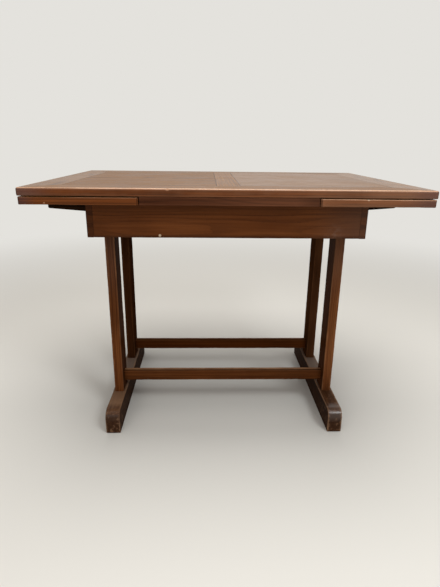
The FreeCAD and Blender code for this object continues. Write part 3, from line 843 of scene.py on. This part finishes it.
def nose_polish(gloss):
    """A foot's coat: rubbed to this gloss over the rounds of its noses and dull elsewhere."""
    def polish(made, board):
        from_nose = nearest_sides(made, board.low, board.high, ("-y", "+y"))[1]
        rubbed = made.spread(from_nose, *NOSE_GLOSS_RUN, gloss, 0.0)
        rubbed = made.times(rubbed, made.spread(made.at("z"), *NOSE_GLOSS_RISE))
        rubbed = made.times(rubbed, made.spread(made.unsigned(made.facing("x")), 0.3, 0.7, 1.0, 0.0))
        return made.greater(rubbed, board.stain.polish)
    return polish


def finish_base():
    """The apron box, the trestles, the centre board and the small pieces that hold them."""
    # The rear ends take darker stains as painted shade, and the right-hand posts take painted light from
    # the right, more at the rear end
    ends = {
        "front": dict(post=POST_STAIN, stretcher=STRETCHER_STAIN, paling=0.08, marks=post_marks),
        "rear": dict(post=REAR_POST_PAINTED_SHADE_STAIN, stretcher=REAR_STRETCHER_PAINTED_SHADE_STAIN, paling=0.32, marks=None),
    }
    sides = {
        "left": dict(foot_top_paling=0.66, gloss=0.25, post_painted_light=0.0, end_dark=0.75),
        "right": dict(foot_top_paling=0.0, gloss=1.0, post_painted_light=1.0, end_dark=0.35),
    }
    for step, (end, looks) in enumerate(ends.items()):
        make(Board(end + "_apron", APRON_STAIN, "x", (11 + step, 0.09, 0.02), ("+z", "-x", "+x"),
                   knocks=APRON_KNOCKS, painted_window_light=APRON_PAINTED_LIGHT, marks=apron_marks, chips=(APRON_CHIP,)))
        make(Board(end + "_stretcher", looks["stretcher"], "x", (13 + step, 0.05, 0.06), ("-x", "+x"),
                   knocks=TRESTLE_KNOCKS, marks=stretcher_marks))
    for step, (side, own) in enumerate(sides.items()):
        make(Board(side + "_apron", APRON_STAIN, "y", (15 + step, 0.03, 0.07), ("+z", "-y", "+y"),
                   knocks=APRON_KNOCKS, end_dark=own["end_dark"], marks=painted_sheen_right_end))
        make(Board(side + "_foot", FOOT_STAIN, "y", (17 + step, 0.05, 0.08), ("-z",), nose=FOOT_NOSE,
                   knocks=FOOT_KNOCKS, polish=nose_polish(own["gloss"]),
                   marks=foot_marks(own["foot_top_paling"])))
        for turn, (end, looks) in enumerate(ends.items()):
            log = 19 + 2 * step + turn, 0.07, 0.04 + 0.02 * turn
            ramp = Fade(*POST_PAINTED_LIGHT_RUN, 0.0, own["post_painted_light"] * looks["paling"])
            make(Board(end + "_" + side + "_post", looks["post"], "z", log, ("-z", "+z"),
                       knocks=TRESTLE_KNOCKS, painted_window_light=ramp, marks=looks["marks"]))
    make(Board("centre_board", BOARD_STAIN, "x", (24, 0.05, 0.12), ("-x", "+x"),
               painted_window_light=BOARD_PAINTED_LIGHT, marks=board_marks))
    make(Board("corner_blocks", BARE_STAIN, "z", (25, 0.05, 0.05)))
    make(Board("guide_pegs", BARE_STAIN, "z", (26, 0.01, 0.01)))
    steel = dull_steel("old_screw_steel")
    for node in ("centre_board_screws", "post_screws", "left_leaf_screws", "right_leaf_screws"):
        dress(frame["nodes"][node], steel)


# Studio: a pale floor that runs out into a pale surround
FLOOR_REACH = 9.0
FLOOR_FADE_RUN = 1.2, 3.4
FLOOR_COLOUR = linear(222, 219, 213)
FLOOR_ROUGHNESS = 0.65
SURROUND = linear(228, 226, 221)
SURROUND_LIGHT = 0.42
LAMP_TARGET = Vector((0, 0, 0.5))
COOL_LIGHT = (0.94, 0.98, 1.0)
WARM_LIGHT = (1.0, 0.97, 0.94)
PLAIN_LIGHT = (1.0, 0.98, 0.95)


def seen_directly(nodes, links):
    """A factor of 1 for rays from the eye, from gloss and through glass, and 0 for light."""
    path = nodes.new("ShaderNodeLightPath")
    total = path.outputs["Is Camera Ray"]
    for name in ("Is Glossy Ray", "Is Transmission Ray"):
        node = nodes.new("ShaderNodeMath")
        node.operation = "MAXIMUM"
        links.new(total, node.inputs[0])
        links.new(path.outputs[name], node.inputs[1])
        total = node.outputs[0]
    return total


def make_floor():
    """A flat floor that keeps the table's shadow and fades into the surround."""
    shape = bmesh.new()
    bmesh.ops.create_grid(shape, x_segments=1, y_segments=1, size=FLOOR_REACH)
    mesh = bpy.data.meshes.new("studio_floor")
    shape.to_mesh(mesh)
    shape.free()
    floor = bpy.data.objects.new("studio_floor", mesh)
    bpy.context.scene.collection.objects.link(floor)
    made = Finish("pale_floor")
    across = made.add("ShaderNodeVectorMath", operation="LENGTH")
    made.feed(across.inputs[0], made.place.outputs["Object"])
    ramp = made.spread(across.outputs["Value"], *FLOOR_FADE_RUN)
    made.shader.inputs["Base Color"].default_value = FLOOR_COLOUR
    made.shader.inputs["Roughness"].default_value = FLOOR_ROUGHNESS
    glow = made.add("ShaderNodeEmission")
    glow.inputs["Color"].default_value = SURROUND
    mix = made.add("ShaderNodeMixShader")
    made.feed(mix.inputs[0], made.times(ramp, seen_directly(made.nodes, made.links)))
    made.links.new(made.shader.outputs[0], mix.inputs[1])
    made.links.new(glow.outputs[0], mix.inputs[2])
    made.links.new(mix.outputs[0], made.nodes["Material Output"].inputs["Surface"])
    mesh.materials.append(made.material)


def make_surround():
    """A pale world that is seen at full strength and lights the table softly."""
    world = bpy.data.worlds.new("pale_surround")
    bpy.context.scene.world = world
    world.use_nodes = True
    nodes, links = world.node_tree.nodes, world.node_tree.links
    light = nodes["Background"]
    light.inputs["Color"].default_value = SURROUND
    light.inputs["Strength"].default_value = SURROUND_LIGHT
    seen = nodes.new("ShaderNodeBackground")
    seen.inputs["Color"].default_value = SURROUND
    mix = nodes.new("ShaderNodeMixShader")
    links.new(seen_directly(nodes, links), mix.inputs[0])
    links.new(light.outputs[0], mix.inputs[1])
    links.new(seen.outputs[0], mix.inputs[2])
    links.new(mix.outputs[0], nodes["World Output"].inputs["Surface"])


def soft_lamp(name, place, size, watts, colour):
    """A broad lamp that looks at the table."""
    lamp = bpy.data.lights.new(name, "AREA")
    lamp.shape = "RECTANGLE"
    lamp.size, lamp.size_y = size
    lamp.energy = watts
    lamp.color = colour
    made = bpy.data.objects.new(name, lamp)
    bpy.context.scene.collection.objects.link(made)
    made.location = place
    made.rotation_euler = (LAMP_TARGET - Vector(place)).to_track_quat("-Z", "Y").to_euler()


def make_lights():
    soft_lamp("window_light", (1.25, -1.9, 2.35), (0.8, 0.8), 26, COOL_LIGHT)
    soft_lamp("ceiling_light", (0, -0.1, 3.2), (2.2, 2.2), 64, PLAIN_LIGHT)
    soft_lamp("front_light", (-1.2, -3.4, 2.0), (2.4, 1.6), 25, WARM_LIGHT)
    soft_lamp("rear_light", (0.4, 3.8, 2.8), (2.4, 1.6), 16, PLAIN_LIGHT)


def make_camera():
    """A camera at the photograph's viewing angle."""
    forward = Vector((math.sin(CAMERA_YAW) * math.cos(CAMERA_PITCH),
                      math.cos(CAMERA_YAW) * math.cos(CAMERA_PITCH),
                      -math.sin(CAMERA_PITCH)))
    level = Vector((math.cos(CAMERA_YAW), -math.sin(CAMERA_YAW), 0))
    above = level.cross(forward)
    right = math.cos(CAMERA_ROLL) * level + math.sin(CAMERA_ROLL) * above
    up = math.cos(CAMERA_ROLL) * above - math.sin(CAMERA_ROLL) * level
    turn = Matrix((right, up, -forward)).transposed()
    lens = bpy.data.cameras.new("photo_lens")
    lens.sensor_width = SENSOR
    lens.lens = FOCAL_PIXELS / max(FRAME_WIDE, FRAME_TALL) * SENSOR
    eye = bpy.data.objects.new("photo_camera", lens)
    bpy.context.scene.collection.objects.link(eye)
    eye.matrix_world = Matrix.Translation(CAMERA_PLACE) @ turn.to_4x4()
    bpy.context.scene.camera = eye


finish_top()
finish_leaf("left", LEFT_LEAF_STAIN, 30, 0.3, LEFT_LEAF_PAINTED_LIGHT, LEFT_LEAF_SOIL_REACH)
finish_leaf("right", RIGHT_LEAF_STAIN, 45, right_leaf_wear_and_highlight, RIGHT_LEAF_PAINTED_LIGHT, RIGHT_LEAF_SOIL_REACH)
finish_base()
make_floor()
make_surround()
make_lights()
make_camera()
bpy.context.scene.view_settings.view_transform = "Standard"
